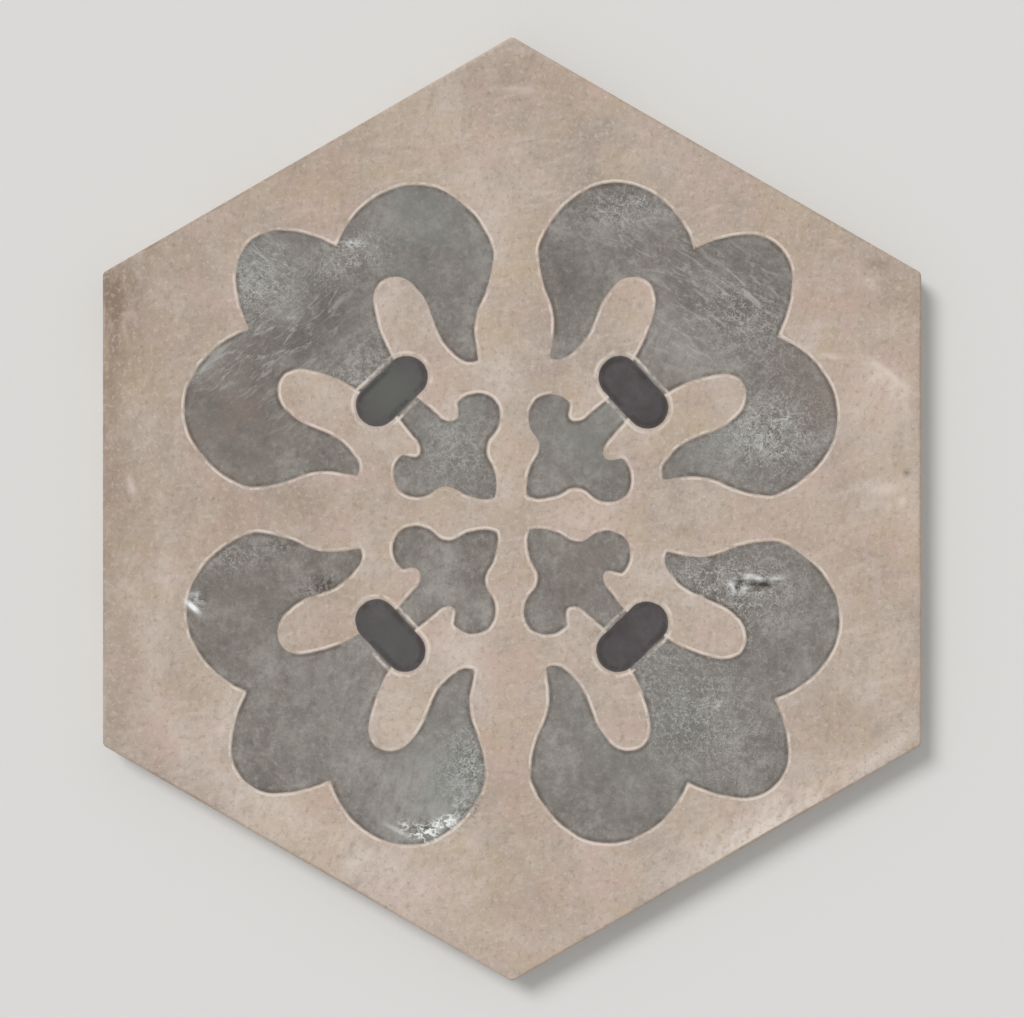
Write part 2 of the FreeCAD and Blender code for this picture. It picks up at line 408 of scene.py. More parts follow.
@dataclass(frozen=True)
class Wear:
    """Where the printed face is stained, bleached, tinted, streaked, scratched, nicked or pitted.

    Each list becomes an attribute of the face, under the list's own name.
    """

    stain: Sequence[Patch] = (
        Patch(-106, 54, 17, 9, 0.95, 90),
        Patch(-107, 12, 42, 5, 0.5, 90),
        Patch(-105, -58, 13, 5, 0.5, 90),
        Patch(-52, 93, 36, 7, 0.3, 30),
        Patch(2, 115, 15, 8, 0.35),
        Patch(34, 93, 26, 7, 0.35, -30),
        Patch(-58, 0, 26, 6, 0.25),
        Patch(80, -57, 9, 8, 0.35),
        Patch(4, -108, 12, 9, 0.35),
        Patch(2, -80, 5, 17, 0.2),
        Patch(106, 62, 7, 12, 0.3),
        Patch(-86, 8, 30, 56, 0.36),
        Patch(-54, -24, 18, 14, 0.28),
        Patch(-92, 67, 16, 12, 0.3, 30),
        Patch(96, 64.5, 3.2, 2.2, 0.8),
        Patch(98, 49, 9, 9, 0.22),
    )
    bloom: Sequence[Patch] = (
        Patch(-36, -95, 17, 8, 0.75, -28),
        Patch(-66, -78, 16, 6, 0.6, -30),
        Patch(-95, -38, 14, 3, 0.35, 98),
        Patch(-88, -60, 9, 4, 0.4, 122),
        Patch(66, -86, 22, 6, 0.7, 30),
        Patch(98, -64, 9, 2, 0.7, 35),
        Patch(97, 26, 9, 11, 0.5),
        Patch(98.5, 33.5, 6, 2.5, 0.7, -38),
        Patch(20, -2, 10, 5, 0.5),
        Patch(-14, -37, 7, 9, 0.6),
        Patch(94.5, 59.5, 2.5, 1.2, 0.6, -40),
        Patch(98, 5.5, 5, 2.2, 0.6),
        Patch(105, -2, 3, 9, 0.4),
        Patch(-2, 82, 9, 16, 0.15),
        Patch(-91, -20, 11, 2.5, 0.35, 92),
        Patch(-76, -56, 9, 4, 0.7, 75),
        Patch(70, -83, 34, 14, 0.55, 30),
        Patch(33, 95, 22, 8, 0.35, -30),
        Patch(-32, -56, 7, 13, 0.35),
        Patch(6, -113, 14, 7, 0.25),
    )
    leaf_pale: Sequence[Patch] = (
        Patch(-68, 62, 11, 10, 0.32),
        Patch(-48, 65, 9, 5, 0.25, 30),
        Patch(-79, 41, 8, 3, 0.5, 48),
        Patch(-30, 80, 15, 7, 0.2, -20),
        Patch(-16, 18, 12, 10, 0.25),
        Patch(42, 42, 18, 6, 0.5, -42),
        Patch(61, 18, 16, 9, 0.6),
        Patch(29, 78, 8, 4, 0.35, 40),
        Patch(-19, -80, 14, 11, 0.65, 30),
        Patch(-46, -46, 18, 14, 0.3),
        Patch(-20, -20, 12, 12, 0.15),
        Patch(26, -52, 8, 13, 0.3),
        Patch(62, -26, 18, 14, 0.25),
        Patch(57, -58, 6, 12, 0.25),
        Patch(-28, -74, 24, 18, 0.35),
        Patch(-15, -66, 8, 20, 0.25),
        Patch(20, -38, 18, 26, 0.22),
        Patch(78, -47, 8, 8, 0.4),
        Patch(25, 34, 14, 16, 0.35),
    )
    leaf_dark: Sequence[Patch] = (
        Patch(-60, 42, 21, 7, 0.5, 40),
        Patch(-73, 24, 15, 13, 0.5),
        Patch(-50, 55, 9, 5, 0.3, 40),
        Patch(18, 63, 9, 13, 0.4),
        Patch(68, 62, 9, 9, 0.5),
        Patch(54, 68, 9, 5, 0.3),
        Patch(-62, -23, 19, 12, 0.18),
        Patch(17, -18, 12, 10, 0.25),
        Patch(30, -76, 18, 9, 0.2),
        Patch(-50, 52, 28, 22, 0.3),
        Patch(25, 82, 14, 6, 0.2),
        Patch(66, -16, 14, 6, 0.15),
        Patch(-72, -38, 16, 14, 0.12),
    )
    warm: Sequence[Patch] = (
        Patch(-73, 22, 16, 12, 0.8, 60),
        Patch(-62, -26, 20, 14, 0.2, 10),
        Patch(82, 32, 8, 13, 0.8, 20),
        Patch(44, 36, 12, 7, 0.3, -45),
        Patch(22, -16, 12, 8, 0.2),
    )
    cool: Sequence[Patch] = (
        Patch(-24, 74, 20, 13, 0.6, -40),
        Patch(-70, 64, 12, 10, 0.6),
        Patch(-17, 20, 10, 12, 0.5),
        Patch(20, 18, 14, 12, 0.5),
        Patch(56, 18, 16, 8, 0.5),
        Patch(-14, -72, 14, 16, 0.8),
        Patch(40, -58, 22, 20, 0.5),
    )
    streak_up: Sequence[Patch] = (
        Patch(-60, 46, 24, 11, 0.8, 40),
        Patch(-69, 55, 7, 5, 0.7),
        Patch(-80, 38, 10, 6, 0.6, 45),
        Patch(-48, 31, 15, 6, 0.8, 35),
        Patch(-11, -72, 9, 12, 0.7),
        Patch(-18, 16, 10, 10, 0.4),
    )
    streak_down: Sequence[Patch] = (
        Patch(-66, 64, 11, 9, 1.0),
        Patch(60, 56, 17, 11, 0.9, -30),
        Patch(30, 74, 16, 10, 0.7, -30),
        Patch(45, 44, 13, 9, 0.6, -30),
        Patch(70, 16, 14, 9, 0.5, -30),
        Patch(30, -50, 12, 12, 0.4),
    )
    scratch: Sequence[Patch] = (
        Patch(-68, 60, 13, 12, 0.55),
        Patch(-42, 66, 12, 6, 0.6, 20),
        Patch(-40, 36, 14, 8, 0.5, 40),
        Patch(-14, 15, 12, 12, 0.5),
        Patch(30, 80, 14, 6, 0.7, 10),
        Patch(62, 50, 14, 9, 0.6, -30),
        Patch(68, 20, 14, 12, 0.9),
        Patch(56, -22, 20, 12, 0.9),
        Patch(48, -54, 24, 16, 0.6, -40),
        Patch(-10, -68, 9, 12, 0.8),
        Patch(-72, -12, 12, 5, 0.5, 10),
        Patch(-52, -21, 6, 4, 0.6, 40),
    )
    scuff: Sequence[Patch] = (
        Patch(-22.5, -85.6, 3, 1.8, 1.2, -30),
        Patch(-18, -83, 3.6, 1.5, 1.6, 22),
        Patch(-27, -84.6, 3.4, 1.6, 0.8, -30),
        Patch(-13, -77.5, 3.6, 3.6, 0.25, 50),
        Patch(-83, -24, 2, 2, 0.35),
        Patch(72, 24, 2.6, 3, 0.25),
        Patch(64.5, -19.6, 8, 2.2, 0.25, 3),
        Patch(59.6, -20.2, 2.4, 1.8, 0.6),
        Patch(54.3, -51.7, 1.2, 0.9, 0.5),
        Patch(-68, 60, 9, 8, 0.14),
        Patch(-42.4, 69.8, 4, 1.4, 0.45, 15),
    )
    dent: Sequence[Patch] = (
        Patch(62, -20.5, 7, 2.4, 0.5, 10),
        Patch(-82.6, -24.6, 2.2, 2.2, 0.5),
        Patch(-49.6, -19.8, 3, 2.2, 0.9, 40),
        Patch(-60, -10, 3.2, 1.4, 0.7, 10),
        Patch(-24, -84.6, 6, 2.2, 0.8),
        Patch(-11, -79, 3, 3, 0.5),
    )
    crack: Sequence[Patch] = (
        Patch(83.6, 40.4, 4.4, 0.7, 0.6, -9),
        Patch(94.6, 38.4, 2.6, 0.8, 0.35, -6),
        Patch(99.8, 35.3, 6, 0.8, 0.65, -38),
        Patch(104, 24, 0.8, 9, 0.25),
        Patch(97.6, 5.2, 3.4, 1.2, 0.4),
        Patch(102.6, 1.8, 1.8, 0.8, 0.7, 60),
        Patch(99.4, 0.4, 1.8, 0.8, 0.4, 80),
        Patch(-100.4, 6.1, 0.9, 2.6, 0.6, 12),
        Patch(1, 110.7, 6, 0.7, 0.4, -3),
    )
    nick: Sequence[Patch] = (
        Patch(-84.2, -25.8, 2.1, 0.6, 1.5, -42),
        Patch(-84.2, -22.5, 1.6, 0.5, 0.4, 8),
        Patch(-30.4, -84.6, 3.4, 0.55, 0.45, -27),
        Patch(-15.6, -82.3, 1.3, 0.9, 0.8, 20),
        Patch(-19.2, -83.8, 1.2, 0.8, 0.6),
        Patch(62.4, -17.8, 1.3, 0.6, 0.7, 8),
        Patch(65, -18.4, 1.5, 0.6, 0.8, -20),
        Patch(69.6, -18.3, 2, 0.6, 0.5, 14),
        Patch(57.8, -19.8, 0.6, 1.3, 0.6, 25),
        Patch(61.3, -20.9, 1.2, 0.6, 0.6, 35),
        Patch(58.4, -21.8, 1, 0.5, 0.4, -30),
        Patch(65.6, 16, 2.2, 0.6, 0.3, -52),
    )
    pit: Sequence[Patch] = (
        Patch(63.6, -19.7, 1.1, 0.7, 1.1, 20),
        Patch(66.4, -19.9, 1.7, 0.8, 1.5, 4),
        Patch(60.2, -19.4, 0.9, 0.9, 1.1),
        Patch(59.4, -20.8, 0.7, 0.6, 0.8),
        Patch(69.8, -19.6, 1.2, 0.6, 0.6, 12),
        Patch(-51.2, -18, 1.2, 0.6, 0.6, -20),
        Patch(-49.2, -19.9, 0.6, 1.4, 0.6, -15),
        Patch(-51.2, -20.5, 0.6, 1.2, 0.5, -15),
        Patch(-47.4, -19.6, 0.6, 1.2, 0.35, -15),
        Patch(104, 9.6, 0.8, 0.8, 0.6),
    )
    band_pale: Sequence[Patch] = (
        Patch(-32, 31, 9, 9, 1.0),
        Patch(-32, -33, 9, 9, 0.5),
    )

    def covers(self, face_mm: Rows) -> dict[str, Rows]:
        """Give how strongly each list covers each place on the face."""
        return {
            kind.name: np.sum([patch.cover(face_mm) for patch in getattr(self, kind.name)], axis=0)
            for kind in fields(self)
        }


@dataclass(frozen=True)
class Clouds:
    """A cloudy pattern whose largest features have a real size, about 0.5 in the mean.

    It may be turned and stretched along one direction, bent, or give thin threads where the
    clouds pass their mean. A flat pattern is the same all through the tile's thickness.
    """

    size_mm: float
    detail: float = 4.0
    roughness: float = 0.6
    shift_mm: float = 0.0
    turn_deg: float = 0.0
    stretch: float = 1.0
    bend: float = 0.0
    threads: bool = False
    flat: bool = True

    def value(self, canvas: Canvas) -> Node:
        """Add the pattern to a material.

        Args:
            canvas: the material.

        Returns:
            The node that gives the pattern's value; threads have their middle at 0.5, the most.
        """
        size = self.size_mm * MM
        laid = add_node(
            canvas.tree,
            "Mapping",
            {"vector_type": "TEXTURE"},
            {
                "Vector": canvas.place,
                "Location": (self.shift_mm * MM, 0.0, 0.0),
                "Rotation": (0.0, 0.0, math.radians(self.turn_deg)),
                "Scale": (size * self.stretch, size, size),
            },
        )
        clouds = add_node(
            canvas.tree,
            "TexNoise",
            {"noise_dimensions": "2D" if self.flat else "3D"},
            {
                "Vector": laid,
                "Scale": 1.0,
                "Detail": self.detail,
                "Roughness": self.roughness,
                "Distortion": self.bend,
            },
        )
        if not self.threads:
            return clouds
        return add_node(canvas.tree, "Math", {"operation": "PINGPONG"}, {0: clouds, 1: 0.5})


@dataclass(frozen=True)
class Blend:
    """Three colours that melt into each other, from the low to the high values of clouds.

    The middle colour lies at the clouds' mean, and the others the spread below and above it.
    """

    MEAN: ClassVar[float] = 0.5

    low: str
    middle: str
    high: str
    clouds: Clouds
    spread: float = 0.25

    def lay(self, canvas: Canvas) -> Node:
        """Add the colours to a material.

        Args:
            canvas: the material.

        Returns:
            The node that gives the colour.
        """
        ramp = add_node(canvas.tree, "ValToRGB", inputs={"Fac": self.clouds.value(canvas)})
        elements = ramp.color_ramp.elements
        elements.new(self.MEAN)
        for element, step, colour in zip(elements, (-1, 0, 1), (self.low, self.middle, self.high)):
            element.position = self.MEAN + step * self.spread
            element.color = linear(colour)
        return ramp


@dataclass(frozen=True)
class Coat:
    """One more colour, laid over those below it as far as its clouds let it.

    It starts and is full at two values of the clouds, and a start below zero leaves it almost
    even. Its strength is a share, or the name of the attribute that gives it at each place.
    """

    colour: str
    clouds: Clouds
    start: float
    full: float
    strength: float | str = 1.0

    def lay(self, canvas: Canvas, below: Node) -> Node:
        """Add the colour to a material.

        Args:
            canvas: the material.
            below: the node that gives the colour so far.

        Returns:
            The node that gives the new colour.
        """
        tree = canvas.tree
        most: object = self.strength
        if isinstance(most, str):
            most = add_node(tree, "Attribute", {"attribute_name": most}).outputs["Fac"]
        ends = {"From Min": self.start, "From Max": self.full, "To Max": most}
        cover = add_node(tree, "MapRange", SOFT, {"Value": self.clouds.value(canvas), **ends})
        return add_node(tree, "Mix", COLOURS, {"Factor": cover, "A": below, "B": linear(self.colour)})


@dataclass(frozen=True)
class Line:
    """A fine line along the edge of a printed shape.

    Its four stops are depths in the shape, in millimetres: it fades in from the first to the
    second, has a strength at each of the two in the middle, and fades out to the last.
    """

    colour: str
    stops_mm: tuple[float, float, float, float]
    strengths: tuple[float, float]

    def steps(self) -> list[tuple[float, Colour]]:
        """Give the line as steps of a ramp.

        Returns:
            Each stop with the line's colour, whose alpha is its strength there.
        """
        red, green, blue, _ = linear(self.colour)
        strengths = (0.0, *self.strengths, 0.0)
        return [(stop, (red, green, blue, strength)) for stop, strength in zip(self.stops_mm, strengths)]


@dataclass(frozen=True)
class Edge:
    """The edge of one printed shape, soft and a little uneven, with its two fine lines.

    A pale line runs just outside the shape and a dark one just inside. Both fade where the clouds
    of the breaks are low.
    """

    shape: str
    pale: Line
    dark: Line
    softness_mm: float = 0.16
    waver: Clouds = Clouds(5.0, 3, 0.6, shift_mm=31)
    waver_mm: float = 0.5
    breaks: Clouds = Clouds(9.0, 4, 0.7, shift_mm=63)
    breaks_start: float = 0.4
    breaks_full: float = 0.58

    def lay(self, canvas: Canvas, outside: Node, inside: Node) -> Node:
        """Lay the shape on what is round it, and draw its lines.

        Args:
            canvas: the material.
            outside: the node that gives the colour round the shape.
            inside: the node that gives the shape's own colour.

        Returns:
            The node that gives the new colour.
        """
        tree = canvas.tree
        exact = add_node(tree, "Attribute", {"attribute_name": self.shape}).outputs["Fac"]
        shift = add_node(
            tree,
            "MapRange",
            inputs={
                "Value": self.waver.value(canvas),
                "To Min": -self.waver_mm / 2,
                "To Max": self.waver_mm / 2,
            },
        )
        depth = add_node(tree, "Math", inputs={0: exact, 1: shift})
        ends = {"From Min": -self.softness_mm, "From Max": self.softness_mm}
        cover = add_node(tree, "MapRange", SOFT, {"Value": depth, **ends})
        laid = add_node(tree, "Mix", COLOURS, {"Factor": cover, "A": outside, "B": inside})
        steps = self.pale.steps() + self.dark.steps()
        first, last = steps[0][0], steps[-1][0]
        ends = {"From Min": first, "From Max": last}
        across = add_node(tree, "MapRange", inputs={"Value": depth, **ends})
        lines = add_node(tree, "ValToRGB", inputs={"Fac": across})
        elements = lines.color_ramp.elements
        for stop, _ in steps[1:-1]:
            elements.new((stop - first) / (last - first))
        for element, (_, colour) in zip(elements, steps):
            element.color = colour
        broken = add_node(
            tree,
            "MapRange",
            inputs={
                "Value": self.breaks.value(canvas),
                "From Min": self.breaks_start,
                "From Max": self.breaks_full,
                "To Max": lines.outputs["Alpha"],
            },
        )
        return add_node(tree, "Mix", COLOURS, {"Factor": broken, "A": laid, "B": lines})


@dataclass(frozen=True)
class Porcelain(ABC):
    """What the tile's two finishes share: a dull fired surface with a fine grain."""

    name: str
    grain: Clouds
    relief_mm: float
    relief_strength: float
    roughness: float
    ior: float = 1.5
    specular_level: float = 0.3

    @abstractmethod
    def colour(self, canvas: Canvas) -> Node:
        """Add the finish's colour to its material.

        Args:
            canvas: the material.

        Returns:
            The node that gives the colour.
        """

    def make(self) -> bpy.types.Material:
        """Make the material.

        Returns:
            The material, with its patterns on Object coordinates.
        """
        material = bpy.data.materials.new(self.name)
        material.use_nodes = True
        tree = material.node_tree
        tree.nodes.clear()
        canvas = Canvas(tree, add_node(tree, "TexCoord").outputs["Object"])
        bump = add_node(
            tree,
            "Bump",
            inputs={
                "Height": self.grain.value(canvas),
                "Distance": self.relief_mm * MM,
                "Strength": self.relief_strength,
            },
        )
        shader = add_node(
            tree,
            "BsdfPrincipled",
            inputs={
                "Base Color": self.colour(canvas),
                "Roughness": self.roughness,
                "IOR": self.ior,
                "Specular IOR Level": self.specular_level,
                "Normal": bump,
            },
        )
        add_node(tree, "OutputMaterial", inputs={"Surface": shader})
        return material


@dataclass(frozen=True)
class PrintedGlaze(Porcelain):
    """Porcelain stoneware face: an inkjet print of old cement under a dead-matt glaze, fired once.

    It gives an even, dull surface whose clouds, rubs and scratches are only printed, with a dry
    sheen at low angles and no clear reflections. The mesh's attributes say where its print and
    its wear lie.
    """

    name: str = "matt_glazed_printed_porcelain"
    # Old cement clouds over some 60 mm, and is tan or rose over some 25 mm. Trowel strokes are about
    # 3 mm wide. Its sand, of 0.3 mm, is too fine to show, so it is drawn as grains of about 1.5 mm.
    ground: Blend = Blend("#94867A", "#B9AA9D", "#D6C9BE", Clouds(60, 8, 0.85), 0.27)
    ground_coats: Sequence[Coat] = (
        Coat("#BAA68C", Clouds(26, 5, 0.75, shift_mm=140), 0.42, 0.72, 0.75),
        Coat("#C4A99F", Clouds(24, 5, 0.75, shift_mm=320), 0.45, 0.72, 0.65),
        Coat("#D3C5B9", Clouds(3.0, 4, 0.75, shift_mm=160, turn_deg=14, stretch=5), 0.5, 0.75, 0.35),
        Coat("#9A8A7C", Clouds(2.4, 4, 0.75, shift_mm=170, turn_deg=72, stretch=5), 0.52, 0.78, 0.35),
        Coat("#8C7A6A", Clouds(9, 5, 0.8, shift_mm=77, turn_deg=90, stretch=2), 0.1, 0.7, "stain"),
        Coat("#DDD0C6", Clouds(5, 5, 0.8, shift_mm=95, turn_deg=60, stretch=1.8), 0.2, 0.7, "bloom"),
        Coat("#8E7A68", Clouds(1.6, 2, 0.7, shift_mm=12), 0.52, 0.8, 0.4),
        Coat("#D6C9BE", Clouds(1.4, 2, 0.7, shift_mm=44), 0.52, 0.8, 0.4),
        Coat("#E0D3C8", Clouds(3.0, 3, 0.7, shift_mm=820), 0.0, 0.5, "crack"),
    )
    # The grey clouds over some 16 mm, with blotches of 2 to 3 mm and brush strokes 1.5 mm wide. Hair
    # scratches, under 0.1 mm wide, are too fine to show, so they are drawn about 0.3 mm wide.
    leaf: Blend = Blend("#605A55", "#827B75", "#A7A29C", Clouds(16, 6, 0.85, shift_mm=210), 0.28)
    leaf_coats: Sequence[Coat] = (
        Coat("#67615C", Clouds(2.6, 3, 0.75, shift_mm=620), 0.5, 0.76, 0.55),
        Coat("#9E9B96", Clouds(2.2, 3, 0.75, shift_mm=640), 0.5, 0.76, 0.55),
        Coat("#5D5752", Clouds(7, 5, 0.8, shift_mm=250), 0.1, 0.7, "leaf_dark"),
        Coat("#AEABA6", Clouds(3.2, 3, 0.7, 270, 68, stretch=2.4, bend=0.5), 0.15, 0.8, "leaf_pale"),
        Coat("#86786E", Clouds(12, 4, 0.7, shift_mm=290), 0.2, 0.7, "warm"),
        Coat("#7F847F", Clouds(12, 4, 0.7, shift_mm=350), 0.2, 0.7, "cool"),
        Coat("#ABA9A4", Clouds(1.6, 3, 0.75, turn_deg=38, stretch=4, bend=0.6), 0.48, 0.72, "streak_up"),
        Coat("#ABA9A4", Clouds(1.6, 3, 0.75, turn_deg=-33, stretch=4, bend=0.6), 0.48, 0.72, "streak_down"),
        Coat("#5A5651", Clouds(3.2, 3, 0.65, shift_mm=700, threads=True), 0.46, 0.5, "scratch"),
        Coat("#C2C2BD", Clouds(2.8, 3, 0.65, shift_mm=18, threads=True), 0.465, 0.5, "scratch"),
    )
    band: Blend = Blend("#443F3F", "#4E494A", "#5A5556", Clouds(9, 4, 0.7, shift_mm=400), 0.25)
    band_coats: Sequence[Coat] = (
        Coat("#5D5E5A", Clouds(20, 2, 0.6, shift_mm=420), -0.2, 0.3, "band_pale"),
    )
    face_coats: Sequence[Coat] = (
        Coat("#39322D", Clouds(2.4, 2, 0.55, shift_mm=480, threads=True), 0.4, 0.49, "dent"),
        Coat("#E9ECEA", Clouds(2.6, 2, 0.55, 520, stretch=1.6, threads=True), 0.43, 0.495, "scuff"),
        Coat("#F2F5F3", Clouds(2.0, 3, 0.75, shift_mm=560), 0.54, 0.7, "scuff"),
        Coat("#F2F5F3", Clouds(20, 2, 0.6, shift_mm=420), -0.2, 0.3, "nick"),
        Coat("#3D3631", Clouds(3.0, 3, 0.7, shift_mm=860), 0.0, 0.5, "pit"),
    )
    # Of the fine lines along the print's edges, the pale ones are 0.6 to 0.8 mm wide and the dark
    # ones 0.8 to 1.2 mm.
    leaf_edge: Edge = Edge(
        "leaf_depth",
        pale=Line("#E4D8CE", (-1.0, -0.7, -0.45, -0.2), (0.75, 0.75)),
        dark=Line("#54483E", (-0.1, 0.2, 0.6, 1.2), (0.6, 0.5)),
    )
    band_edge: Edge = Edge(
        "band_depth",
        pale=Line("#DFD3C8", (-1.55, -1.15, -0.75, -0.35), (0.75, 0.75)),
        dark=Line("#2E2826", (0.1, 0.7, 1.2, 2.0), (0.6, 0.5)),
    )
    # The glaze's own grain, of 0.1 mm, is too fine to show, so it is drawn at 1.5 mm.
    grain: Clouds = Clouds(1.5, 3, 0.7, shift_mm=600)
    relief_mm: float = 0.06
    relief_strength: float = 0.6
    roughness: float = 0.62

    def colour(self, canvas: Canvas) -> Node:
        """Add the print and its wear to the material.

        Args:
            canvas: the material.

        Returns:
            The node that gives the colour.
        """
        ground = self.coated(canvas, self.ground.lay(canvas), self.ground_coats)
        leaf = self.coated(canvas, self.leaf.lay(canvas), self.leaf_coats)
        band = self.coated(canvas, self.band.lay(canvas), self.band_coats)
        printed = self.leaf_edge.lay(canvas, ground, leaf)
        printed = self.band_edge.lay(canvas, printed, band)
        return self.coated(canvas, printed, self.face_coats)

    def coated(self, canvas: Canvas, colour: Node, coats: Sequence[Coat]) -> Node:
        """Lay coats over a colour, one after the other.

        Args:
            canvas: the material.
            colour: the node that gives the colour so far.
            coats: the coats, from the lowest up.

        Returns:
            The node that gives the new colour.
        """
        for coat in coats:
            colour = coat.lay(canvas, colour)
        return colour


@dataclass(frozen=True)
class BareBody(Porcelain):
    """Unglazed porcelain stoneware body: pressed powder, fired dense and left bare.

    It gives the sides and the back a dry, chalky surface with fine iron specks, and a whiter
    bloom of kiln wash on the ribs that lay on the rollers.
    """

    name: str = "unglazed_porcelain_body"
    # The body's shade drifts over some 30 mm. Its iron specks are 2.4 mm apart, and dark over 0.3 mm
    # and gone at 0.6 mm across, whose halves are given as shares of the spacing.
    body: Blend = Blend("#A99C8E", "#C3B6A8", "#D8CDC1", Clouds(30, 5, 0.75, flat=False))
    speck: str = "#7C6E60"
    speck_spacing_mm: float = 2.4
    speck_dark: float = 0.06
    speck_end: float = 0.12
    speck_strength: float = 0.7
    # The kiln wash lies on what is within 0.15 mm of the back's plane.
    wash: str = "#E4DED5"
    wash_mm: float = 0.15
    wash_strength: float = 0.6
    # The pressed grain, of 0.1 mm, is too fine to show, so it is drawn at 0.8 mm.
    grain: Clouds = Clouds(0.8, 3, 0.5, flat=False)
    relief_mm: float = 0.05
    relief_strength: float = 0.8
    roughness: float = 0.85

    def colour(self, canvas: Canvas) -> Node:
        """Add the body's shade, its specks and the kiln wash to the material.

        Args:
            canvas: the material.

        Returns:
            The node that gives the colour.
        """
        tree = canvas.tree
        per_metre = 1 / (self.speck_spacing_mm * MM)
        specks = add_node(tree, "TexVoronoi", inputs={"Vector": canvas.place, "Scale": per_metre})
        speck = add_node(
            tree,
            "MapRange",
            inputs={
                "Value": specks,
                "From Min": self.speck_dark,
                "From Max": self.speck_end,
                "To Min": self.speck_strength,
                "To Max": 0.0,
            },
        )
        shade = self.body.lay(canvas)
        spotted = add_node(tree, "Mix", COLOURS, {"Factor": speck, "A": shade, "B": linear(self.speck)})
        height = add_node(tree, "SeparateXYZ", inputs={0: canvas.place}).outputs["Z"]
        washed = add_node(
            tree,
            "MapRange",
            inputs={
                "Value": height,
                "From Min": 0.0,
                "From Max": self.wash_mm * MM,
                "To Min": self.wash_strength,
                "To Max": 0.0,
            },
        )
        return add_node(tree, "Mix", COLOURS, {"Factor": washed, "A": spotted, "B": linear(self.wash)})


@dataclass(frozen=True)
class Layout:
    """Where the tile's sides lie in the square baked picture, as shares of it.

    The printed face is as large as it goes, the back lies to its right, and the six edges of the
    tile stand in a row above the back. A face of the mesh belongs to the printed face or the back
    where its normal rises or falls by more than the slope.
    """

    slope: float = 0.35
    margin: float = 0.005
    face_width: float = 0.79
    right_part: float = 0.812
    back_width: float = 0.18
    edge_pitch: float = 0.031
    edge_width: float = 0.026
    edge_middle: float = 0.615
    edge_length: float = 0.72

    def spot(self, place: Vector, normal: Vector, box: Box) -> Point:
        """Give the spot in the picture of a place on the tile.

        Args:
            place: the place on the tile.
            normal: the normal of the face that it is on.
            box: the tile's box.

        Returns:
            The shares of the picture's width and height.
        """
        width, length, thick = box[1] - box[0]
        out = (place - box[0]) / width
        if normal.z > self.slope:
            return (self.margin + out.x * self.face_width, self.margin + out.y * self.face_width)
        if normal.z < -self.slope:
            return (self.right_part + out.x * self.back_width, self.margin + out.y * self.back_width)
        edge = round(math.atan2(normal.y, normal.x) / math.radians(60)) % 6
        turn = edge * math.radians(60)
        along = place.y * math.cos(turn) - place.x * math.sin(turn)
        return (
            self.right_part + edge * self.edge_pitch + self.edge_width * place.z / thick,
            self.edge_middle + self.edge_length * along / length,
        )


